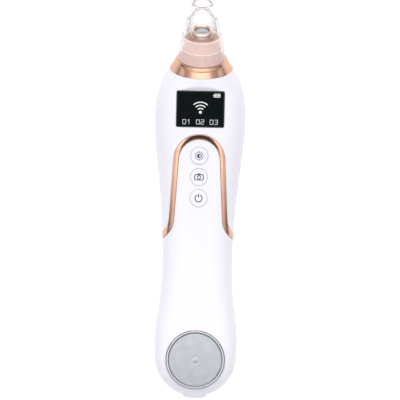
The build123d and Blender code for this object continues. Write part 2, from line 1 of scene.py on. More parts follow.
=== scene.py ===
"""The looks of a hand-held blackhead vacuum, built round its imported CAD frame.

Lengths in this script are millimetres in the frame's axes (X across, Y towards the suction tip,
Z out of the button face); MM turns them into Blender's metres when a mesh is made.
"""
import json
from math import cos, pi, radians, sin

import bmesh
import bpy
import numpy as np
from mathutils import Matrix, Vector
from mathutils.bvhtree import BVHTree


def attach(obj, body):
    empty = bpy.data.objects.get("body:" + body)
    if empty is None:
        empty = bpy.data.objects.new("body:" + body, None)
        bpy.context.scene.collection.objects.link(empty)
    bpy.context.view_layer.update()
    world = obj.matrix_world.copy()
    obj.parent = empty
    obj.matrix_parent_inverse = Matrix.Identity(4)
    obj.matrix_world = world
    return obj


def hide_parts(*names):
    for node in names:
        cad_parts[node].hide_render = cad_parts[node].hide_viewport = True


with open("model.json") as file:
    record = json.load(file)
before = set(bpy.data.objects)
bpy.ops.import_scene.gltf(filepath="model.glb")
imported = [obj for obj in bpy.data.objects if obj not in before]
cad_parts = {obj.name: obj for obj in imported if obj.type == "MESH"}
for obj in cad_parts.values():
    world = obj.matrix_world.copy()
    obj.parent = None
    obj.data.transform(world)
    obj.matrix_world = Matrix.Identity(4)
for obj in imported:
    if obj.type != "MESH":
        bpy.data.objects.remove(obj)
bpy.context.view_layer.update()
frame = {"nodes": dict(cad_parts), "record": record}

MM = 0.001
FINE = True
X = np.array((1.0, 0.0, 0.0))
AXIS_R = 0.002                              # stands for the axis, so that turned faces stay whole
SHADE = 35.0                                # degrees over which an edge stays sharp
CLEAR_IOR = 1.36
VIEW_X, VIEW_Y, VIEW_ROLL = 0.00075, 0.08, 1.19    # metres, and degrees
FLOOR_SIDE = 1800.0


# ------------------------------------------------------------------ driving dimensions
WALL = 2.0
PARTING_GAP = 0.16
# the housing's sections: y, z of the middle, half width, half depth, lean, front squareness
STATIONS = np.array((
    (1.9, 12.7, 20.5, 13.5, 0.0, 3.8),
    (10.5, 12.7, 20.75, 13.5, 0.0, 3.6),
    (21.5, 12.8, 19.55, 13.3, 0.0, 3.1),
    (33.5, 13.0, 18.15, 13.0, 0.0, 2.8),
    (46.0, 13.3, 17.55, 12.9, 0.0, 2.6),
    (65.5, 13.9, 18.05, 13.4, 0.0, 2.5),
    (82.0, 14.4, 19.25, 14.6, 0.0, 2.6),
    (98.0, 15.0, 21.0, 15.6, 2.0, 2.8),
    (114.0, 16.2, 22.6, 16.8, 4.0, 3.1),
    (123.5, 17.6, 22.8, 17.2, 7.0, 3.1),
    (131.5, 19.4, 22.0, 17.1, 11.0, 2.9),
    (139.5, 22.0, 19.7, 16.5, 18.0, 2.4),
    (146.2, 25.0, 15.85, 15.85, 23.6, 2.0),
))
BACK_SQUARENESS = 2.3
BACK_SHELL_END = -1.8

HEAD_LEAN = radians(30.0)
RIM = np.array((0.0, 149.8, 26.85))
HEAD_DIR = np.array((0.0, cos(HEAD_LEAN), sin(HEAD_LEAN)))
HEAD_FRONT = np.array((0.0, -sin(HEAD_LEAN), cos(HEAD_LEAN)))
RIM_R, SEAT_TOP = 13.0, 13.3
TIP_FOOT, TIP_RIDGE, TIP_SHOULDER, TIP_END, MOUTH_R = 1.75, 8.4, 14.7, 32.0, 3.9
BARREL_R, BARREL_TOP, BARREL_BORE = 6.05, 17.55, 4.0

ARCH_APEX, ARCH_R, ARCH_WIDTH = 112.6, 12.9, 2.55
ARCH_FLARE, ARCH_LEG, ARCH_BEND, ARCH_TURN, ARCH_TAIL = 3.4, 30.5, 9.0, 52.0, 14.0
TRIM_DEPTH, TRIM_PROUD = 0.9, 0.25
TRIM_GAP, TRIM_EASE = 0.07, 0.28            # the channel beside the trim, and its eased lips

BUTTON_Y = {"button_power": 80.8, "button_camera": 91.4, "button_brightness": 102.0}
BUTTON_R, BUTTON_HOLE, BUTTON_FOOT, BUTTON_PROUD = 4.3, 4.48, 26.6, 0.08

SCREEN_C = np.array((0.0, 125.2, 34.55))
SCREEN_LEAN = radians(9.8)
SCREEN_UP = np.array((0.0, cos(SCREEN_LEAN), sin(SCREEN_LEAN)))
SCREEN_OUT = np.array((0.0, -sin(SCREEN_LEAN), cos(SCREEN_LEAN)))
SCREEN_W, SCREEN_L, GLASS, RECESS_W = 24.1, 18.4, 1.0, 25.1

RING_R, RING_BORE, RING_TOP, RING_FOOT = 14.75, 13.2, 26.6, 21.0
PLATE_TOP = 26.3
PORT_Z, PORT_W, PORT_H, PORT_END = 12.7, 11.8, 6.4, -19.6
PORT_BOW, PORT_ROOT = 0.8, 4.0              # how far the boss's end curves, and how far in it starts
SLOT_W, SLOT_H = 9.0, 3.2
BEYOND = 40.0                               # past any side of the body
BELOW = -20.0                               # under its back

RIBS, RIB_HEIGHT = 104, 0.055
SKIRT_R = 9.4                               # the tip is skirt outside this radius
CONE_FALL = 0.262                           # how fast the tip's cone narrows with height
CONE_SKIN, CONE_WALL = 13.6, 13.3           # radii that part its outside from its inside, at height 0
STEP_FOOT, STEP_TOP = 23.7, 24.2
LIP_LENGTH = 2.8


# ------------------------------------------------------------------ mesh tools
def mesh_object(name, points, faces, shade=SHADE):
    """A linked mesh object from points in millimetres, smooth but for edges over shade degrees."""
    mesh = bpy.data.meshes.new(name)
    mesh.from_pydata([tuple(p * MM) for p in np.asarray(points, float)], [], faces)
    return finished_object(name, mesh, shade)


def finished_object(name, mesh, shade=SHADE):
    """Links a mesh with its doubled points merged, its faces turned outwards and its shading set."""
    work = bmesh.new()
    work.from_mesh(mesh)
    bmesh.ops.remove_doubles(work, verts=work.verts, dist=1e-7)
    bmesh.ops.dissolve_degenerate(work, edges=work.edges, dist=1e-7)
    bmesh.ops.recalc_face_normals(work, faces=work.faces)
    work.to_mesh(mesh)
    work.free()
    mesh.polygons.foreach_set("use_smooth", [True] * len(mesh.polygons))
    mesh.set_sharp_from_angle(angle=radians(shade))
    piece = bpy.data.objects.new(name, mesh)
    bpy.context.scene.collection.objects.link(piece)
    return piece


def skin(name, rings, loop=False, caps=True, shade=SHADE):
    """A mesh over equal closed rings of points, which may themselves close in a loop or be capped."""
    rings = np.asarray(rings, float)
    count, size = rings.shape[:2]
    faces = []
    for i in range(count if loop else count - 1):
        low, high = i * size, (i + 1) % count * size
        for j in range(size):
            k = (j + 1) % size
            faces.append((low + j, low + k, high + k, high + j))
    if caps and not loop:
        faces.append(tuple(range(size))[::-1])
        faces.append(tuple(range((count - 1) * size, count * size)))
    return mesh_object(name, rings.reshape(-1, 3), faces, shade)


def boolean(piece, cutter, operation="DIFFERENCE"):
    """piece with cutter taken away, added or kept; the cutter is deleted."""
    name = piece.name
    modifier = piece.modifiers.new("cut", "BOOLEAN")
    modifier.operation = operation
    modifier.solver = "MANIFOLD"
    modifier.object = cutter
    graph = bpy.context.evaluated_depsgraph_get()
    mesh = bpy.data.meshes.new_from_object(piece.evaluated_get(graph))
    bpy.data.objects.remove(piece)
    bpy.data.objects.remove(cutter)
    return finished_object(name, mesh)


def copy_of(piece, name):
    """A linked copy with its own mesh."""
    twin = bpy.data.objects.new(name, piece.data.copy())
    bpy.context.scene.collection.objects.link(twin)
    return twin


def rectangle(width, length):
    """The corners of a rectangle round the origin."""
    u, v = width / 2, length / 2
    return [(-u, -v), (u, -v), (u, v), (-u, v)]


def rounded(corners, radii, steps=5):
    """Closed 2D corners with each one rounded to its radius (0 keeps it sharp)."""
    corners = [np.array(c, float) for c in corners]
    out = []
    for i, corner in enumerate(corners):
        radius = radii[i] if hasattr(radii, "__len__") else radii
        before, after = corners[i - 1] - corner, corners[(i + 1) % len(corners)] - corner
        if radius <= 0:
            out.append(corner)
            continue
        a, b = before / np.linalg.norm(before), after / np.linalg.norm(after)
        half = np.arccos(np.clip(a @ b, -1, 1)) / 2
        reach = radius / np.tan(half)
        centre = corner + (a + b) / np.linalg.norm(a + b) * radius / np.sin(half)
        first, last = corner + a * reach - centre, corner + b * reach - centre
        turn = np.arccos(np.clip(first @ last / radius ** 2, -1, 1))
        for step in range(steps + 1):
            t = step / steps
            ray = (first * np.sin((1 - t) * turn) + last * np.sin(t * turn)) / np.sin(turn)
            out.append(centre + ray)
    return out


def supported(profile, reach=0.15):
    """The closed profile with a point near both ends of each long side, which keeps its shading flat."""
    out = []
    for one, other in zip(profile, list(profile[1:]) + [profile[0]]):
        one, other = np.array(one, float), np.array(other, float)
        out.append(one)
        length = np.linalg.norm(other - one)
        if length > 4 * reach:
            out += [one + (other - one) * reach / length, other - (other - one) * reach / length]
    return out


def lathe(name, profile, centre=RIM, axis=HEAD_DIR, front=HEAD_FRONT, segments=128, wave=None,
          shade=SHADE):
    """A closed (radius, height) profile turned about an axis; wave(radius, height, angle) bends it."""
    angles = np.linspace(0, 2 * pi, segments, endpoint=False)
    rings = []
    for radius, height in supported(profile):
        r = np.full(segments, float(radius)) if wave is None else wave(radius, height, angles)
        rings.append(
            centre + np.outer(r * np.cos(angles), X) + np.outer(r * np.sin(angles), front)
            + height * axis
        )
    return skin(name, rings, loop=True, caps=False, shade=shade)


# ------------------------------------------------------------------ the housing's form
def spline_through(x, y, start_slope=None):
    """A cubic spline through the points, natural at its ends unless a start slope is given."""
    n = len(x)
    h = np.diff(x)
    matrix, right = np.eye(n), np.zeros((n, y.shape[1]))
    for i in range(1, n - 1):
        matrix[i, i - 1:i + 2] = h[i - 1], 2 * (h[i - 1] + h[i]), h[i]
        right[i] = 6 * ((y[i + 1] - y[i]) / h[i] - (y[i] - y[i - 1]) / h[i - 1])
    if start_slope is not None:
        matrix[0, :2] = 2 * h[0], h[0]
        right[0] = 6 * ((y[1] - y[0]) / h[0] - start_slope)
    bend = np.linalg.solve(matrix, right)

    def at(v):
        """The spline's values at v."""
        i = int(np.clip(np.searchsorted(x, v) - 1, 0, n - 2))
        a, b = (x[i + 1] - v), (v - x[i])
        return ((bend[i] * a ** 3 + bend[i + 1] * b ** 3) / (6 * h[i])
                + (y[i] / h[i] - bend[i] * h[i] / 6) * a + (y[i + 1] / h[i] - bend[i + 1] * h[i] / 6) * b)
    return at


station = spline_through(STATIONS[:, 0], STATIONS[:, 1:], 0.0)


def half_section(half_width, half_depth, squareness, count):
    """count + 1 evenly spaced points from the right edge round the front to the left edge."""
    angle = np.linspace(0, pi, 1601)
    u = half_width * np.sign(np.cos(angle)) * np.abs(np.cos(angle)) ** (2 / squareness)
    v = half_depth * np.abs(np.sin(angle)) ** (2 / squareness)
    length = np.concatenate(([0], np.cumsum(np.hypot(np.diff(u), np.diff(v)))))
    even = np.linspace(0, length[-1], count + 1)
    return np.stack((np.interp(even, length, u), np.interp(even, length, v)), axis=1)


def section(values, inset, count):
    """A closed ring in the section's own (u, v), the front half first."""
    _, half_width, half_depth, _, squareness = values
    front = half_section(half_width - inset, half_depth - inset, squareness, count)
    back = half_section(half_width - inset, half_depth - inset, min(squareness, BACK_SQUARENESS), count)
    return np.concatenate((front[:-1], -back[:-1]))


def housing(name, inset=0.0, count=None, pitch=0.8, beyond=0.0):
    """The closed body, its skin moved inwards by inset and its mouth moved out by beyond."""
    count = count or (150 if FINE else 60)
    pitch = pitch if FINE else 2 * pitch
    rings = []
    first = station(STATIONS[0, 0])
    ring = section(first, inset, count)
    for turn in np.linspace(pi / 2, 0, 48 if FINE else 20, endpoint=False):
        out = np.abs(ring[:, 0])
        rings.append(np.stack((ring[:, 0] * cos(turn), STATIONS[0, 0] - out * sin(turn),
                               first[0] + ring[:, 1]), axis=1))
    y0, y1 = STATIONS[0, 0], STATIONS[-1, 0]
    places = list(np.linspace(y0, y1, int((y1 - y0) / pitch)))
    for y in places + ([y1 + beyond] if beyond else []):
        values = station(min(y, y1))
        lean = radians(values[3])
        ring = section(values, inset, count)
        shift = max(0.0, y - y1)
        rings.append(np.stack((ring[:, 0], y - ring[:, 1] * sin(lean),
                               values[0] + shift * np.tan(lean) + ring[:, 1] * cos(lean)), axis=1))
    rings = np.array(rings)
    if inset <= 0:
        rings[:, :, 2] = np.maximum(rings[:, :, 2], 0.0)
    return skin(name, rings)


def prism(name, outline, axis, low, high):
    """A straight prism: a 2D outline in the two axes other than axis, from low to high."""
    rings = []
    for level in (low, high):
        ring = np.zeros((len(outline), 3))
        ring[:, [i for i in range(3) if i != axis]] = outline
        ring[:, axis] = level
        rings.append(ring)
    return skin(name, rings)


def front_region(gap=0.0):
    """YZ outline of all that is in front of the spine, with the whole bottom end."""
    ys = np.linspace(BACK_SHELL_END, STATIONS[-1, 0], 60)
    line = [(y, (station(max(y, STATIONS[0, 0]))[0]) - gap) for y in ys]
    return line + [(165.0, 35.0), (165.0, 90.0), (-60.0, 90.0), (-60.0, BELOW), (BACK_SHELL_END, BELOW)]


# ------------------------------------------------------------------ node materials
def node_material(name):
    """A new node material, its nodes, its links and its shader."""
    material = bpy.data.materials.new(name)
    material.use_nodes = True
    nodes = material.node_tree.nodes
    return material, nodes, material.node_tree.links, nodes["Principled BSDF"]


def noise(nodes, links, scale, detail=3.0):
    """A noise texture over the object's own coordinates, in metres."""
    place = nodes.new("ShaderNodeTexCoord")
    texture = nodes.new("ShaderNodeTexNoise")
    texture.inputs["Scale"].default_value = scale
    texture.inputs["Detail"].default_value = detail
    links.new(place.outputs["Object"], texture.inputs["Vector"])
    return texture.outputs["Fac"]


def spread(nodes, links, value, low, high, start=0.35, end=0.65):
    """Maps a value from start..end onto low..high, and holds it there outside."""
    ramp = nodes.new("ShaderNodeMapRange")
    ramp.inputs["From Min"].default_value = start
    ramp.inputs["From Max"].default_value = end
    ramp.inputs["To Min"].default_value = low
    ramp.inputs["To Max"].default_value = high
    links.new(value, ramp.inputs["Value"])
    return ramp.outputs["Result"]


def tinted(nodes, links, value, dark, light):
    """A colour between dark and light by a 0..1 value."""
    mix = nodes.new("ShaderNodeMix")
    mix.data_type = "RGBA"
    mix.inputs["A"].default_value = (*dark, 1)
    mix.inputs["B"].default_value = (*light, 1)
    links.new(value, mix.inputs["Factor"])
    return mix.outputs["Result"]


def bumped(nodes, links, shader, value, distance, strength):
    """Raises the shader's surface by value, up to distance in millimetres."""
    bump = nodes.new("ShaderNodeBump")
    bump.inputs["Distance"].default_value = distance * MM
    bump.inputs["Strength"].default_value = strength
    links.new(value, bump.inputs["Height"])
    links.new(bump.outputs["Normal"], shader.inputs["Normal"])


def simple_material(name, dark, light, roughness, metallic, grain, bump, coat):
    """Colour, roughness and bump that all vary a little with a fine noise."""
    material, nodes, links, shader = node_material(name)
    fine = noise(nodes, links, grain)
    broad = noise(nodes, links, grain / 12)
    links.new(tinted(nodes, links, spread(nodes, links, broad, 0, 1), dark, light),
              shader.inputs["Base Color"])
    links.new(spread(nodes, links, fine, *roughness), shader.inputs["Roughness"])
    shader.inputs["Metallic"].default_value = metallic
    shader.inputs["Coat Weight"].default_value = coat
    bumped(nodes, links, shader, fine, bump, 0.5)
    return material


def white_shell_material():
    """Glossy white moulding with a faint cool tint."""
    material, nodes, links, shader = node_material("white_shell")
    broad = noise(nodes, links, 25.0)
    fine = noise(nodes, links, 1800.0, 2.0)
    links.new(tinted(nodes, links, spread(nodes, links, broad, 0, 1), (0.815, 0.805, 0.866),
                     (0.83, 0.818, 0.878)), shader.inputs["Base Color"])
    links.new(spread(nodes, links, fine, 0.30, 0.38), shader.inputs["Roughness"])
    shader.inputs["Specular IOR Level"].default_value = 0.3
    shader.inputs["Coat Weight"].default_value = 0.08
    shader.inputs["Coat Roughness"].default_value = 0.10
    bumped(nodes, links, shader, noise(nodes, links, 260.0, 1.0), 0.004, 0.3)
    return material


def clear_material(name, colour, edge, reach):
    """Clear plastic whose colour turns to edge where it is seen aslant, over the levels in reach: painted
    shade for the darker surroundings seen in and through its walls.
    """
    material, nodes, links, shader = node_material(name)
    broad = noise(nodes, links, 120.0)
    fine = noise(nodes, links, 1500.0)
    grazing = nodes.new("ShaderNodeLayerWeight")
    grazing.inputs["Blend"].default_value = 0.5
    shade = spread(nodes, links, grazing.outputs["Facing"], 0, 1, *reach)
    links.new(tinted(nodes, links, shade, colour, edge), shader.inputs["Base Color"])
    links.new(spread(nodes, links, fine, 0.01, 0.04), shader.inputs["Roughness"])
    shader.inputs["IOR"].default_value = CLEAR_IOR
    shader.inputs["Transmission Weight"].default_value = 1.0
    bumped(nodes, links, shader, broad, 0.01, 0.15)
    return material


def frosted_material(name, alpha):
    """Milky pink plastic that lets what is behind it show softly."""
    material = simple_material(name, (0.96, 0.84, 0.82), (1.0, 0.88, 0.86), (0.20, 0.32), 0.0, 1300.0,
                               0.004, 0.3)
    material.node_tree.nodes["Principled BSDF"].inputs["Alpha"].default_value = alpha
    return material


# name: darker and lighter colour, lowest and highest roughness, metallic, grain per metre, bump
# in millimetres, clear coat
FINISHES = {
    "rose_gold": ((0.64, 0.375, 0.265), (0.69, 0.41, 0.295), (0.1, 0.16), 1.0, 1400.0, 0.0015, 0.0),
    # a paler, non-metal copy of the rose gold: painted light against the shade and dark reflections inside
    # the tip
    "seat_gold": ((0.92, 0.6, 0.48), (0.96, 0.64, 0.52), (0.3, 0.42), 0.0, 1400.0, 0.003, 0.0),
    # a paler copy of the rose gold: painted light for the barrel's bright reflections
    "barrel_gold": ((0.84, 0.66, 0.56), (0.89, 0.71, 0.61), (0.12, 0.2), 1.0, 1500.0, 0.0006, 0.0),
    "lens_glass": ((0.34, 0.37, 0.4), (0.42, 0.45, 0.48), (0.03, 0.06), 0.6, 700.0, 0.0006, 1.0),
    "black_glass": ((0.004, 0.007, 0.007), (0.006, 0.009, 0.009), (0.03, 0.06), 0.0, 500.0, 0.0004, 0.5),
    "satin_metal": ((0.4, 0.42, 0.445), (0.435, 0.46, 0.485), (0.34, 0.44), 1.0, 3200.0, 0.004, 0.0),
    "polished_chrome": ((0.58, 0.59, 0.61), (0.63, 0.64, 0.66), (0.05, 0.1), 1.0, 1500.0, 0.0006, 0.0),
    "seal_rubber": ((0.66, 0.44, 0.34), (0.72, 0.5, 0.39), (0.55, 0.7), 0.0, 2500.0, 0.01, 0.0),
    "filter_foam": ((0.72, 0.72, 0.7), (0.85, 0.85, 0.83), (0.8, 0.95), 0.0, 4500.0, 0.08, 0.0),
    "circuit_board": ((0.01, 0.1, 0.04), (0.02, 0.16, 0.06), (0.3, 0.42), 0.0, 1300.0, 0.01, 0.3),
    "battery_wrap": ((0.48, 0.5, 0.53), (0.56, 0.58, 0.61), (0.28, 0.4), 0.0, 700.0, 0.02, 0.0),
    "motor_steel": ((0.5, 0.5, 0.52), (0.58, 0.58, 0.6), (0.22, 0.34), 1.0, 1800.0, 0.004, 0.0),
    "pump_plastic": ((0.02, 0.02, 0.023), (0.032, 0.032, 0.035), (0.42, 0.55), 0.0, 2200.0, 0.01, 0.0),
    "hose_silicone": ((0.7, 0.7, 0.69), (0.78, 0.78, 0.76), (0.38, 0.5), 0.0, 1500.0, 0.006, 0.0),
    "screw_steel": ((0.44, 0.45, 0.47), (0.53, 0.54, 0.56), (0.25, 0.38), 1.0, 2600.0, 0.006, 0.0),
    "heater_film": ((0.45, 0.17, 0.02), (0.56, 0.23, 0.03), (0.25, 0.36), 0.0, 900.0, 0.004, 0.4),
    "insulator_plastic": ((0.035, 0.035, 0.035), (0.055, 0.055, 0.055), (0.5, 0.65),
                          0.0, 1700.0, 0.01, 0.0),
    "display_panel": ((0.015, 0.018, 0.022), (0.025, 0.03, 0.035), (0.15, 0.25), 0.0, 900.0, 0.002, 0.0),
    "camera_black": ((0.012, 0.012, 0.012), (0.022, 0.022, 0.022), (0.3, 0.45), 0.0, 2400.0, 0.006, 0.0),
    "led_board": ((0.74, 0.74, 0.7), (0.84, 0.84, 0.8), (0.35, 0.5), 0.0, 1900.0, 0.006, 0.0),
    "socket_steel": ((0.48, 0.48, 0.5), (0.57, 0.57, 0.59), (0.2, 0.32), 1.0, 2100.0, 0.004, 0.0),
    "switch_plastic": ((0.025, 0.025, 0.025), (0.04, 0.04, 0.04), (0.4, 0.52), 0.0, 2300.0, 0.006, 0.0),
    "antenna_ceramic": ((0.52, 0.48, 0.36), (0.62, 0.58, 0.45), (0.42, 0.55), 0.0, 2600.0, 0.006, 0.0),
    "icon_ink": ((0.02, 0.026, 0.028), (0.034, 0.042, 0.045), (0.35, 0.48), 0.0, 3000.0, 0.002, 0.0),
    "icon_light": ((0.78, 0.8, 0.8), (0.88, 0.9, 0.9), (0.35, 0.45), 0.0, 3000.0, 0.002, 0.0),
}
MATERIALS = {name: simple_material(name, *finish) for name, finish in FINISHES.items()}
MATERIALS.update({
    "white_shell": white_shell_material(),
    # the clear plastics turn darker where they are seen aslant: painted shade
    "clear_tip": clear_material("clear_tip", (0.98, 0.97, 0.975), (0.50, 0.52, 0.55), (0.3, 0.9)),
    "clear_wall": clear_material("clear_wall", (0.985, 0.975, 0.98), (0.12, 0.15, 0.18), (0.25, 0.8)),
    "clear_lip": clear_material("clear_lip", (0.97, 0.94, 0.94), (0.84, 0.76, 0.76), (0.3, 0.9)),
    "frosted_skirt": frosted_material("frosted_skirt", 0.3),
    "frosted_edge": frosted_material("frosted_edge", 0.6),
})
FINISH_OF = {"tip_seat": "seat_gold", "button_power": "white_shell", "button_camera": "white_shell",
             "button_brightness": "white_shell"}
SLOT_OF = {row["node"]: row["material_slot"] for row in frame["record"]["subparts"]}
for node, part in frame["nodes"].items():
    part.data.materials.clear()
    part.data.materials.append(MATERIALS[FINISH_OF.get(node, SLOT_OF[node])])


def place(piece, material, body, slot, *nodes):
    """Gives a piece its finish and its body, and hides the CAD nodes that it stands for; slot is not used.
    """
    piece.data.materials.clear()
    piece.data.materials.append(MATERIALS[material])
    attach(piece, body)
    if nodes:
        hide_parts(*nodes)


# ------------------------------------------------------------------ the arch's path
def arch_plan(inward, count=2000):
    """Half of the arch's edge in plan, from the apex outwards, moved towards the buttons by inward."""
    top_r, bend_r = ARCH_R - inward, ARCH_BEND + inward
    flare = radians(90 - ARCH_FLARE)
    turn = np.linspace(0, flare, count)
    arc = np.stack((top_r * np.sin(turn), ARCH_APEX - inward - top_r * (1 - np.cos(turn))), axis=1)
    down = np.array((cos(flare), -sin(flare)))
    leg = arc[-1] + np.outer(np.linspace(0, ARCH_LEG, count)[1:], down)
    out = np.array((sin(flare), cos(flare)))
    turn = np.linspace(0, radians(ARCH_TURN), count)[1:]
    bend = (leg[-1] + out * bend_r - np.outer(np.cos(turn), out) * bend_r
            + np.outer(np.sin(turn), down) * bend_r)
    last = bend[-1] - bend[-2]
    tail = bend[-1] + np.outer(np.linspace(0, ARCH_TAIL, count)[1:], last / np.linalg.norm(last))
    return np.concatenate((arc, leg, bend, tail))


body_form = housing("body_form")
tree = BVHTree.FromObject(body_form, bpy.context.evaluated_depsgraph_get())


def on_front(x, y):
    """Where a line straight down meets the body's front, and the normal there."""
    hit, normal, _, _ = tree.ray_cast(Vector((x * MM, y * MM, 0.1)), Vector((0, 0, -1)))
    return (None, None) if hit is None else (np.array(hit) / MM, np.array(normal))


def arch_line(inward, count):
    """The arch's edge on the body: even points from the apex to the parting line, and normals."""
    plan = arch_plan(inward)
    width = np.array([station(max(y, STATIONS[0, 0]))[1] for y in plan[:, 1]])
    end = int(np.argmax(plan[:, 0] > width - 0.02))
    # closer samples towards the side, where the surface turns away
    pick = np.unique((end * (1 - (1 - np.linspace(0, 1, 900)) ** 2)).astype(int))
    points, normals = [], []
    for x, y in plan[pick]:
        hit, normal = on_front(x, y)
        if hit is not None:
            points.append(hit)
            normals.append(normal)
    points, normals = np.array(points), np.array(normals)
    x, y = plan[end]
    points = np.vstack((points, (width[end], y, station(y)[0] + 0.05)))
    normals = np.vstack((normals, (1, 0, 0)))
    length = np.concatenate(([0], np.cumsum(np.linalg.norm(np.diff(points, axis=0), axis=1))))
    even = np.linspace(0, length[-1], count)
    points = np.stack([np.interp(even, length, points[:, i]) for i in range(3)], axis=1)
    normals = np.stack([np.interp(even, length, normals[:, i]) for i in range(3)], axis=1)
    return points, normals / np.linalg.norm(normals, axis=1)[:, None]


def arch_solid(name, profile, count=160):
    """A band along the whole arch. profile is (inward, height over the skin), a closed section."""
    columns = []
    for inward, height in profile:
        points, normals = arch_line(inward, count)
        right = points + normals * height
        left = right[::-1] * (-1, 1, 1)
        columns.append(np.concatenate((left[:-1], right)))
    rings = np.array(columns).transpose(1, 0, 2)
    return skin(name, rings, shade=30.0)


# ------------------------------------------------------------------ housing shells and trim
def shells():
    """Both housing mouldings, hollow, with every opening cut."""
    inside = housing("inside", inset=WALL, count=100 if FINE else 40, pitch=1.6, beyond=2.0)
    hollow = boolean(copy_of(body_form, "hollow"), inside)
    back_outline = front_region(PARTING_GAP)
    back_outline[0] = (BACK_SHELL_END + PARTING_GAP, back_outline[0][1])
    back_outline[-1] = (BACK_SHELL_END + PARTING_GAP, BELOW)
    back = boolean(copy_of(hollow, "back_shell_moulding"), prism("front", back_outline, 0, -BEYOND, BEYOND))
    front = boolean(hollow, prism("front", front_region(), 0, -BEYOND, BEYOND), "INTERSECT")
    front.name = "front_shell_moulding"
    # port boss
    half_w, half_h = PORT_W / 2, PORT_H / 2
    end = [(x, PORT_END + PORT_BOW * (x / half_w) ** 2) for x in np.linspace(half_w, -half_w, 25)]
    boss = end + [(-half_w, PORT_END + PORT_ROOT), (half_w, PORT_END + PORT_ROOT)]
    front = boolean(front, prism("boss", boss, 2, PORT_Z - half_h, PORT_Z + half_h), "UNION")
    slot = rounded([(u, PORT_Z + v) for u, v in rectangle(SLOT_W, SLOT_H)], SLOT_H / 2 - 0.01)
    front = boolean(front, prism("slot", slot, 1, PORT_END - 2, PORT_END + 8))
    # channel for the trim, its lips eased outwards
    side = [(-TRIM_GAP, 3.0), (-TRIM_EASE, 0.5), (-TRIM_EASE, 0.06), (-TRIM_GAP, -0.16),
            (-TRIM_GAP, -TRIM_DEPTH)]
    channel = side + [(ARCH_WIDTH - inward, height) for inward, height in reversed(side)]
    front = boolean(front, arch_solid("channel", channel))
    # the hot plate's seat
    seat_r, seat_foot = RING_R + 0.12, RING_FOOT - 0.5
    seat = [(0.01, seat_foot), (seat_r, seat_foot), (seat_r, BEYOND), (0.01, BEYOND)]
    front = boolean(front, lathe_z("plate_seat", seat))
    for y in BUTTON_Y.values():
        hit, normal = on_front(0, y)
        front = boolean(front, button_cutter(hit, normal))
    front = boolean(front, screen_recess())
    front = boolean(front, screen_box("glass_seat", SCREEN_W + 0.16, SCREEN_L + 0.16, -GLASS, 2.0))
    front = boolean(front, screen_box("screen_opening", SCREEN_W - 2, SCREEN_L - 2, -12, 0.0))
    return front, back


def lathe_z(name, profile):
    """A profile turned about the hot plate's upright axis."""
    return lathe(name, profile, np.zeros(3), np.array((0.0, 0.0, 1.0)), np.array((0.0, 1.0, 0.0)), 192)


def button_cutter(hit, normal):
    """A hole straight down through the front, with a small flare where it meets the skin."""
    angles = np.linspace(0, 2 * pi, 96, endpoint=False)
    circle = np.stack((np.cos(angles), np.sin(angles), np.zeros(96)), axis=1)
    slope = -normal[1] / normal[2]
    rings = []
    for radius, height in ((BUTTON_HOLE - 0.06, -12), (BUTTON_HOLE - 0.06, -0.14),
                           (BUTTON_HOLE + 0.12, 0.08), (BUTTON_HOLE + 0.12, 4)):
        ring = hit + circle * radius
        ring[:, 2] += height + slope * circle[:, 1] * radius
        rings.append(ring)
    return skin("button_cut", rings)


def screen_frame(points):
    """Points given as (across, up, out) of the screen's plane, in the body's own axes."""
    points = np.asarray(points, float)
    return (SCREEN_C + np.outer(points[:, 0], X) + np.outer(points[:, 1], SCREEN_UP)
            + np.outer(points[:, 2], SCREEN_OUT))


def screen_box(name, width, length, low, high, corner=1.0):
    """A box with rounded corners on the screen's plane, from low to high above it."""
    outline = rounded(rectangle(width, length), corner)
    return skin(name, [screen_frame([(u, v, level) for u, v in outline]) for level in (low, high)])


def screen_recess():
    """The sunken place round the glass, whose far wall slopes up to the skin."""
    half_w, near, far, slope = RECESS_W / 2, -9.4, 9.3, 1.25
    rings = []
    for rise in (0.0, 0.6, 6.0):
        reach = far + rise * slope
        outline = rounded([(-half_w, near), (half_w, near), (half_w, reach), (-half_w, reach)], 1.2)
        rings.append(screen_frame([(u, v, rise) for u, v in outline]))
    return skin("recess", rings)


front_shell, back_shell = shells()
place(front_shell, "white_shell", "housing", "white_shell", "front_shell")
place(back_shell, "white_shell", "housing", "white_shell", "back_shell")

# a band with rounded shoulders and a faint crown
trim_profile = rounded([(0, -TRIM_DEPTH + 0.05), (0, TRIM_PROUD - 0.04), (ARCH_WIDTH / 2, TRIM_PROUD),
                        (ARCH_WIDTH, TRIM_PROUD - 0.04), (ARCH_WIDTH, -TRIM_DEPTH + 0.05)],
                       (0, 0.22, 3.0, 0.22, 0), 6)
trim = arch_solid("arch_trim_band", trim_profile, 220 if FINE else 90)
place(trim, "rose_gold", "housing", "rose_gold", "arch_trim")


# ------------------------------------------------------------------ suction head
def circle_ring(centre, front, radius, segments=192):
    """Points round a circle that lies in the plane of X and front."""
    angles = np.linspace(0, 2 * pi, segments, endpoint=False)
    return centre + np.outer(radius * np.cos(angles), X) + np.outer(radius * np.sin(angles), front)


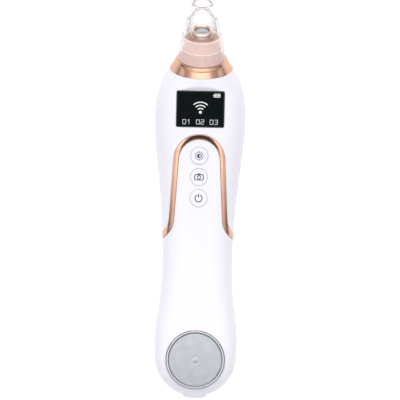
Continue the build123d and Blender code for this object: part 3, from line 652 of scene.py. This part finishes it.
def collar():
    """The mirror cone from the body's mouth to the rim, with its bead and its rising shoulder."""
    z, mouth_r, _, lean, _ = station(STATIONS[-1, 0])
    lean = radians(lean)
    mouth = np.array((0.0, STATIONS[-1, 0], z))
    mouth_front = np.array((0.0, -sin(lean), cos(lean)))
    mouth_dir = np.array((0.0, cos(lean), sin(lean)))
    low = [circle_ring(mouth, mouth_front, mouth_r - WALL),
           circle_ring(mouth, mouth_front, mouth_r - 0.18),
           circle_ring(mouth + 0.04 * mouth_dir, mouth_front, mouth_r - 0.07)]
    foot = circle_ring(mouth + 0.16 * mouth_dir, mouth_front, mouth_r - 0.08)
    top = circle_ring(RIM - 0.12 * HEAD_DIR, HEAD_FRONT, RIM_R + 0.02)
    cone = [foot + (top - foot) * t for t in np.linspace(0, 1, 14)]
    edge = [(RIM_R + 0.10, -0.06), (RIM_R + 0.17, 0.06), (RIM_R + 0.17, 0.2), (RIM_R + 0.08, 0.33),
            (RIM_R - 0.08, 0.40), (RIM_R - 0.22, 0.42), (RIM_R - 0.32, 0.50), (12.35, 1.00),
            (12.05, 1.42), (11.92, 1.54), (11.75, TIP_FOOT - 0.15), (9.15, TIP_FOOT - 0.15), (9.15, 0.0),
            (RIM_R - WALL, 0.0)]
    shoulder = [circle_ring(RIM + h * HEAD_DIR, HEAD_FRONT, r) for r, h in edge]
    return skin("head_collar_cone", low + cone + shoulder, loop=True, caps=False, shade=40.0)


def tip_ribs(radius, height, angles):
    """Fine upright ribs on the outside of the tip's skirt."""
    outside = radius > 10.75 - 0.06 * height and 2.3 < height < 14.1
    return radius + (RIB_HEIGHT * np.cos(RIBS * angles) if outside else 0.0 * angles)


tip_corners = [(10.25, TIP_FOOT), (11.6, TIP_FOOT), (11.56, 2.2), (11.54, 2.45), (11.19, TIP_RIDGE - 0.4),
               (11.15, TIP_RIDGE), (10.9, TIP_RIDGE + 0.3), (10.85, TIP_RIDGE + 0.6), (10.2, 14.0),
               (10.18, 14.05), (10.15, TIP_SHOULDER), (9.55, TIP_SHOULDER - 0.25), (7.36, STEP_FOOT),
               (7.42, 23.86), (7.36, 24.1), (7.26, STEP_TOP), (5.3, TIP_END), (MOUTH_R, TIP_END),
               (MOUTH_R, TIP_END - 3), (6.05, STEP_TOP + 0.1), (6.35, STEP_FOOT),
               (8.35, TIP_SHOULDER + 0.2), (9.3, 13.5), (9.3, 12.6)]
tip_radii = (0.25, 0.45, 0, 0, 0, 0.15, 0.12, 0, 0, 0, 0.28, 0.15, 0, 0, 0, 0, 0.66, 0.66, 0.5, 0.1, 0.1,
             0.3, 0.4, 0.3)
tip = lathe("suction_tip_moulding", rounded(tip_corners, tip_radii, 6), segments=RIBS * (8 if FINE else 4),
            wave=tip_ribs, shade=50.0)
place(tip, "clear_tip", "tip", "clear_tip", "suction_tip")
TIP_FINISHES = ["clear_tip", "frosted_skirt", "frosted_edge", "clear_wall", "clear_lip"]
for finish in TIP_FINISHES[1:]:
    tip.data.materials.append(MATERIALS[finish])
# heights of the bands with the milky edge: the foot, the ridge, the shoulder, the step and the lip
EDGES = ((TIP_FOOT, 2.3), (TIP_RIDGE - 0.15, TIP_RIDGE + 0.3), (14.05, TIP_SHOULDER + 0.1), (23.85, 24.1),
         (TIP_END - 0.45, TIP_END))
for face in tip.data.polygons:
    spot = np.array(face.center) / MM - RIM
    height = spot @ HEAD_DIR
    radius = np.linalg.norm(spot - height * HEAD_DIR)
    outside = radius > SKIRT_R or height > SEAT_TOP + 3 and radius > CONE_SKIN - CONE_FALL * height
    finish = "clear_tip"
    if outside and any(low <= height <= high for low, high in EDGES):
        finish = "frosted_edge"
    elif height < SEAT_TOP or radius > SKIRT_R:
        finish = "frosted_skirt"
    elif height > TIP_END - LIP_LENGTH:
        finish = "clear_lip"
    elif not outside and radius < CONE_WALL - CONE_FALL * height:
        finish = "clear_wall"
    face.material_index = TIP_FINISHES.index(finish)

place(collar(), "rose_gold", "housing", "rose_gold", "head_collar")

barrel_corners = [(BARREL_BORE, SEAT_TOP - 1.5), (5.2, SEAT_TOP - 1.5), (5.2, SEAT_TOP),
                  (BARREL_R, SEAT_TOP), (BARREL_R, BARREL_TOP), (4.75, BARREL_TOP),
                  (4.35, BARREL_TOP - 0.45), (BARREL_BORE, BARREL_TOP - 0.6)]
barrel = lathe("lens_barrel_turned", rounded(barrel_corners, (0, 0, 0, 0.1, 1.0, 0.15, 0.1, 0.05), 8),
               segments=160)
place(barrel, "barrel_gold", "housing", "rose_gold", "lens_barrel")

lens_corners = [(AXIS_R, 15.3), (3.4, 15.3), (3.9, 15.5), (3.9, 16.1), (3.5, 16.3), (2.6, 16.6), (1.3, 16.8),
                (AXIS_R, 16.86)]
lens = lathe("lens_glass_dome", rounded(lens_corners, (0, 0.3, 0.05, 0.1, 0.8, 1.5, 1.5, 0)))
place(lens, "lens_glass", "housing", "lens_glass", "lens_glass")


# ------------------------------------------------------------------ hot plate
ring_corners = [(RING_BORE, RING_FOOT), (RING_R, RING_FOOT), (RING_R, RING_TOP - 0.5),
                (RING_R - 0.5, RING_TOP), (RING_R - 0.85, RING_TOP), (RING_BORE, RING_TOP - 0.75)]
bezel = lathe_z("disc_ring_bevelled", rounded(ring_corners, (0, 0.1, 0.15, 0.15, 0.12, 0.1)))
place(bezel, "polished_chrome", "housing", "polished_chrome", "disc_ring")

plate_corners = [(AXIS_R, PLATE_TOP - 2.1), (RING_BORE - 0.03, PLATE_TOP - 2.1),
                 (RING_BORE - 0.03, PLATE_TOP - 0.55), (RING_BORE - 0.45, PLATE_TOP - 0.40),
                 (8.0, PLATE_TOP - 0.26), (2.4, PLATE_TOP - 0.20), (1.75, PLATE_TOP - 0.25),
                 (1.2, PLATE_TOP - 0.13), (0.6, PLATE_TOP - 0.06), (AXIS_R, PLATE_TOP - 0.06)]
plate = lathe_z("hot_plate_disc", rounded(plate_corners, (0, 0, 0.12, 0.2, 6.0, 2.0, 0.8, 1.0, 1.0, 0), 6))
place(plate, "satin_metal", "housing", "satin_metal", "compress_disc")


# ------------------------------------------------------------------ buttons
def button_cap(name, y):
    """A cap whose top follows the body's front, rounded over at its edge."""
    angles = np.linspace(0, 2 * pi, 96, endpoint=False)
    rings = []
    for radius, drop in ((AXIS_R, 0), (1.2, 0), (2.4, 0), (3.3, 0), (BUTTON_R - 0.45, 0.0),
                         (BUTTON_R - 0.22, 0.02), (BUTTON_R - 0.08, 0.09), (BUTTON_R, 0.24)):
        ring = []
        for angle in angles:
            x, along = radius * cos(angle), y + radius * sin(angle)
            ring.append((x, along, on_front(x, along)[0][2] + BUTTON_PROUD - drop))
        rings.append(ring)
    rings.append([(x, along, BUTTON_FOOT) for x, along, z in rings[-1]])
    return skin(name, rings)


def strip_ring(centre, radius, width, start=0.0, end=360.0, steps=48):
    """An arc of a ring, as (inner edge, outer edge, whether it closes)."""
    closed = end - start >= 360
    angles = np.radians(np.linspace(start, end, steps, endpoint=not closed))
    ray = np.stack((np.cos(angles), np.sin(angles)), axis=1)
    return centre + ray * max(radius - width / 2, AXIS_R), centre + ray * (radius + width / 2), closed


def strip_path(points, width, closed=False):
    """A line of even width through the points, as (one edge, other edge, whether it closes)."""
    points = np.array(points, float)
    ahead = np.roll(points, -1, axis=0) - points
    behind = points - np.roll(points, 1, axis=0)
    if not closed:
        ahead[-1], behind[0] = behind[-1], ahead[0]
    ahead /= np.linalg.norm(ahead, axis=1)[:, None]
    behind /= np.linalg.norm(behind, axis=1)[:, None]
    mitre = ahead + behind
    mitre /= np.linalg.norm(mitre, axis=1)[:, None]
    side = np.stack((-mitre[:, 1], mitre[:, 0]), axis=1)
    reach = width / 2 / np.maximum(np.abs((mitre * ahead).sum(axis=1)), 0.5)
    return points + side * reach[:, None], points - side * reach[:, None], closed


def inlay(name, strips, surface, thickness=0.05, proud=0.012):
    """A thin printed mark: strips laid on a surface, which maps (u, v, height) to points."""
    points, faces = [], []
    for one, other, closed in strips:
        first, count = len(points), len(one)
        for a, b in zip(one, other):
            points += [surface(*a, proud - thickness), surface(*b, proud - thickness),
                       surface(*b, proud), surface(*a, proud)]
        for i in range(count if closed else count - 1):
            low, high = first + 4 * i, first + 4 * ((i + 1) % count)
            faces += [(low + j, low + (j + 1) % 4, high + (j + 1) % 4, high + j) for j in range(4)]
        if not closed:
            faces += [(first + 3, first + 2, first + 1, first),
                      tuple(first + 4 * (count - 1) + j for j in range(4))]
    return mesh_object(name, points, faces)


def power_icon():
    """An open ring with an upright stroke."""
    return [strip_ring((0, 0), 1.75, 0.5, 118, 422), strip_path([(0, 0.3), (0, 2.2)], 0.5)]


def camera_icon():
    """A camera case with its hood and lens."""
    case = rounded([(-2.15, -1.4), (2.15, -1.4), (2.15, 1.15), (-2.15, 1.15)], 0.35)
    hood = [(-0.85, 1.15), (-0.55, 1.65), (0.55, 1.65), (0.85, 1.15)]
    return [strip_path(case, 0.45, True), strip_path(hood, 0.42), strip_ring((0, -0.15), 0.8, 0.42)]


def brightness_icon():
    """A half-filled disc with rays."""
    rays = [strip_path([(1.55 * cos(a), 1.55 * sin(a)), (2.3 * cos(a), 2.3 * sin(a))], 0.42)
            for a in np.arange(12) * pi / 6]
    return rays + [strip_ring((0, 0), 0.95, 0.4), strip_ring((0, 0), 0.45, 0.9, 90, 270)]


ICONS = {"button_power": power_icon, "button_camera": camera_icon, "button_brightness": brightness_icon}
for node, y in BUTTON_Y.items():
    body = node.replace("button_", "") + "_button"
    place(button_cap(node + "_cap", y), "white_shell", body, "white_button", node)

    def on_cap(u, v, height, y=y):
        """A point over this button's top."""
        return np.array((u, y + v, on_front(u, y + v)[0][2] + BUTTON_PROUD + height))
    place(inlay(node + "_icon", ICONS[node](), on_cap), "icon_ink", body, "white_button")


# ------------------------------------------------------------------ screen
def screen_glass():
    """The black window, its edges eased."""
    rings = []
    for shrink, level in ((0.0, -GLASS), (0.0, -0.22), (0.06, -0.08), (0.2, 0.0), (0.5, 0.0)):
        narrower = 2 * (0.04 + shrink)
        outline = rounded(rectangle(SCREEN_W - narrower, SCREEN_L - narrower), 1.0 - shrink)
        rings.append(screen_frame([(u, v, level) for u, v in outline]))
    return skin("display_window_glass", rings)


# strokes on a grid one wide and two high; "-" is the middle stroke of the "3"
DIGIT_STROKES = {
    "0": [(0, 0), (1, 0), (1, 2), (0, 2)],
    "1": [(0.15, 1.6), (0.6, 2), (0.6, 0)],
    "2": [(0, 2), (1, 2), (1, 1), (0, 1), (0, 0), (1, 0)],
    "3": [(0, 2), (1, 2), (1, 0), (0, 0)],
    "-": [(0.3, 1), (1, 1)],
}
DIGIT_SIZE, DIGIT_FOOT = (1.5, 1.1), -7.55


def screen_marks():
    """Signal fan, battery and three numbered levels."""
    fan = (0.05, -1.6)
    marks = [strip_ring(fan, 0.36, 0.7)]
    marks += [strip_ring(fan, radius, 0.5, 47, 133) for radius in (1.95, 3.5, 5.1)]
    battery = rounded([(6.75, 6.1), (9.75, 6.1), (9.75, 7.75), (6.75, 7.75)], 0.3)
    marks += [strip_path(battery, 0.28, True), strip_path([(6.45, 6.55), (6.45, 7.3)], 0.36)]
    marks += [strip_path([(x, 6.45), (x, 7.4)], 0.6) for x in (7.45, 8.25, 9.05)]
    for digit, middle in (("1", -6.8), ("2", 0.0), ("3", 6.8), ("-", 6.8)):
        for glyph, shift in (("0", -1.85), (digit, 0.35)):
            stroke = np.array(DIGIT_STROKES[glyph]) * DIGIT_SIZE + (middle + shift, DIGIT_FOOT)
            marks.append(strip_path(stroke, 0.2, glyph == "0"))
    return marks


def on_screen(u, v, height):
    """A point over the screen's plane."""
    return screen_frame([(u, v, height)])[0]


place(screen_glass(), "black_glass", "housing", "black_glass", "display_window")
printed = inlay("screen_marks", screen_marks(), on_screen, 0.03, 0.006)
place(printed, "icon_light", "housing", "display_panel")

bpy.data.objects.remove(body_form)


# ------------------------------------------------------------------ room, lights and camera
# the sky's colour: sine of the height over the horizon, level, and blue against red
HORIZON, ZENITH = (0.10, 0.102, 0.115, 1), (1.95, 1.93, 1.91, 1)
SKY = ((0.10, 0.15, 1.12), (0.22, 0.32, 1.10), (0.50, 0.72, 1.06), (0.66, 1.05, 1.03), (0.80, 1.15, 1.01),
       (0.85, 1.85, 0.99))
# a dark flag in the sky, by its tilt from straight up and its half widths, in degrees
FLAG_TILT, FLAG_EDGE, FLAG_CORE, FLAG_LEVEL = 17.5, 15, 10, 0.02
# softboxes: place in metres, width, length and power in watts
SOFTBOXES = (((-0.80, VIEW_Y, 0.62), 0.5, 1.2, 0.5), ((0.80, VIEW_Y, 0.62), 0.5, 1.2, 0.3),
             ((0.0, 0.95, 0.90), 1.4, 0.45, 2.6), ((0.0, 1.0, 0.24), 3.0, 0.34, 2.4))


def studio():
    """The pale floor, the sky and the softboxes."""
    floor = skin("floor", [[(u, v + 1000 * VIEW_Y, z) for u, v in rectangle(FLOOR_SIDE, FLOOR_SIDE)]
                           for z in (BELOW, -0.02)])
    floor.data.materials.append(floor_material())

    world = bpy.data.worlds.new("studio")
    bpy.context.scene.world = world
    world.use_nodes = True
    nodes, links = world.node_tree.nodes, world.node_tree.links
    direction = nodes.new("ShaderNodeTexCoord")
    height = nodes.new("ShaderNodeSeparateXYZ")
    links.new(direction.outputs["Generated"], height.inputs["Vector"])
    ramp = nodes.new("ShaderNodeValToRGB")
    stops = ramp.color_ramp.elements
    stops[0].color = HORIZON
    stops[1].color = ZENITH
    for position, level, blue in SKY:
        stops.new(position).color = (level, level, level * blue, 1)
    links.new(height.outputs["Z"], ramp.inputs["Fac"])

    def towards(axis, start, end, low, high):
        """low to high as a direction's dot product with axis goes from start to end."""
        dot = nodes.new("ShaderNodeVectorMath")
        dot.operation = "DOT_PRODUCT"
        dot.inputs[1].default_value = axis
        links.new(direction.outputs["Generated"], dot.inputs[0])
        return spread(nodes, links, dot.outputs["Value"], low, high, start, end)

    # the screen and the arch's top reflect the flag, which hangs over the bottom end; a little less
    # light comes from the right than from the left
    tilt = radians(FLAG_TILT)
    flag = towards((0.0, -sin(tilt), cos(tilt)), cos(radians(FLAG_EDGE)), cos(radians(FLAG_CORE)), 1.0,
                   FLAG_LEVEL)
    side = towards((1.0, 0.0, 0.0), -0.7, 0.7, 1.0, 0.94)
    sky = ramp.outputs["Color"]
    for factor in (flag, side):
        scaled = nodes.new("ShaderNodeVectorMath")
        scaled.operation = "SCALE"
        links.new(sky, scaled.inputs[0])
        links.new(factor, scaled.inputs["Scale"])
        sky = scaled.outputs["Vector"]
    background = nodes["Background"]
    links.new(sky, background.inputs["Color"])
    background.inputs["Strength"].default_value = 1.0

    for spot, width, length, power in SOFTBOXES:
        lamp = bpy.data.lights.new("softbox", "AREA")
        lamp.shape = "RECTANGLE"
        lamp.size, lamp.size_y = width, length
        lamp.energy = power
        holder = bpy.data.objects.new("softbox", lamp)
        holder.location = spot
        aim = Vector((0, VIEW_Y, 0.02)) - holder.location
        holder.rotation_euler = aim.to_track_quat("-Z", "Y").to_euler()
        bpy.context.scene.collection.objects.link(holder)


def floor_material():
    """A pale card that glows a little near the object and less further away: painted light that fills in the
    object's shadow on the floor.
    """
    material, nodes, links, shader = node_material("floor_card")
    grain = noise(nodes, links, 60.0)
    links.new(tinted(nodes, links, grain, (0.48, 0.48, 0.48), (0.52, 0.52, 0.52)),
              shader.inputs["Base Color"])
    shader.inputs["Roughness"].default_value = 0.9
    shader.inputs["Emission Color"].default_value = (1, 1, 1, 1)
    place = nodes.new("ShaderNodeTexCoord")
    away = nodes.new("ShaderNodeVectorMath")
    away.operation = "DISTANCE"
    away.inputs[1].default_value = (0.0, VIEW_Y, 0.0)
    links.new(place.outputs["Object"], away.inputs[0])
    links.new(spread(nodes, links, away.outputs["Value"], 0.6, 0.12, 0.15, 0.26),
              shader.inputs["Emission Strength"])
    return material


def camera():
    """A long lens straight over the button face, turned a little, framing 200 mm."""
    lens = bpy.data.cameras.new("camera")
    distance, framed, depth = 2.0, 0.200, 0.025
    lens.sensor_width = 36.0
    lens.lens = lens.sensor_width * (distance - depth) / framed
    lens.clip_end = 20.0
    eye = bpy.data.objects.new("camera", lens)
    eye.location = (VIEW_X, VIEW_Y, distance)
    eye.rotation_euler = (0, 0, radians(VIEW_ROLL))
    bpy.context.scene.collection.objects.link(eye)
    bpy.context.scene.camera = eye


studio()
camera()
bpy.context.scene.view_settings.view_transform = "Standard"
